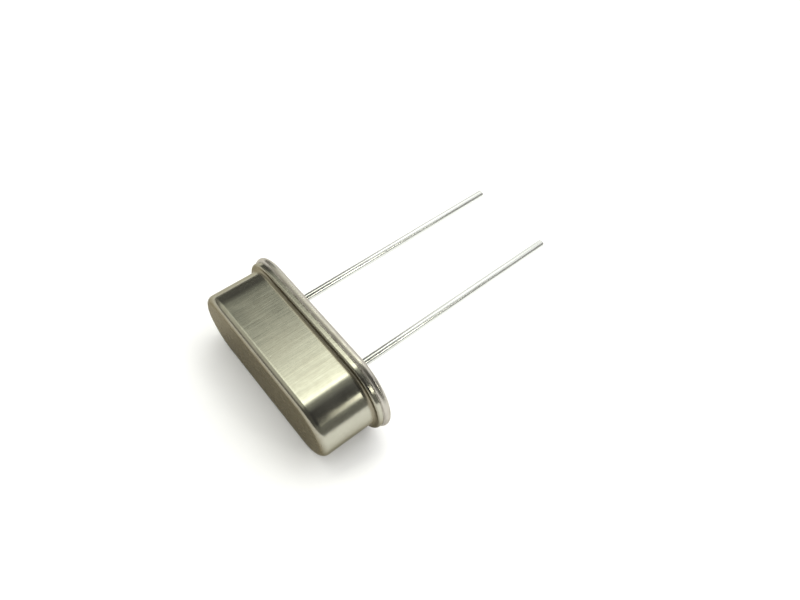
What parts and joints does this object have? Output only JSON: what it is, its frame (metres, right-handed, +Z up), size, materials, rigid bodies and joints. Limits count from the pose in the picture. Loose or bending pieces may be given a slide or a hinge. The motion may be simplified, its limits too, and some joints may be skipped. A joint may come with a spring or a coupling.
{
  "type": "two-lead quartz crystal",
  "caption": "Low metal can with round ends, closed by a flanged base that two long straight wire leads pass through in glass; a quartz strip on spring clips is sealed inside.",
  "frame": {"origin": "on the ground plane, under the middle of the part's bounding box", "axes": "+X along the lead pitch, from the left lead to the right one; +Y from the closed end towards the lead tips; +Z up, out of the flat side that faces up, as the part lies at rest"},
  "size_m": [0.011, 0.017, 0.0046],
  "materials": {
    "can_metal": "drawn nickel-plated metal, satin to bright, with fine draw marks along its height",
    "base_metal": "nickel-plated steel, satin",
    "seal_glass": "dark fused sealing glass, glossy",
    "lead_wire": "bright tin-plated wire with fine drawing lines",
    "clip_metal": "thin spring strip, rolled finish",
    "quartz": "lapped and etched quartz, slightly hazy",
    "electrode_film": "evaporated silver film",
    "conductive_adhesive": "silver-filled epoxy, matt and grainy"
  },
  "bodies": {
    "root": {"can": "can_metal", "base_plate": "base_metal", "glass_seal_left": "seal_glass", "glass_seal_right": "seal_glass", "lead_left": "lead_wire", "lead_right": "lead_wire", "spring_clip_left": "clip_metal", "spring_clip_right": "clip_metal", "quartz_blank": "quartz", "electrode_top": "electrode_film", "electrode_bottom": "electrode_film", "adhesive_left": "conductive_adhesive", "adhesive_right": "conductive_adhesive"}
  },
  "joints": []
}
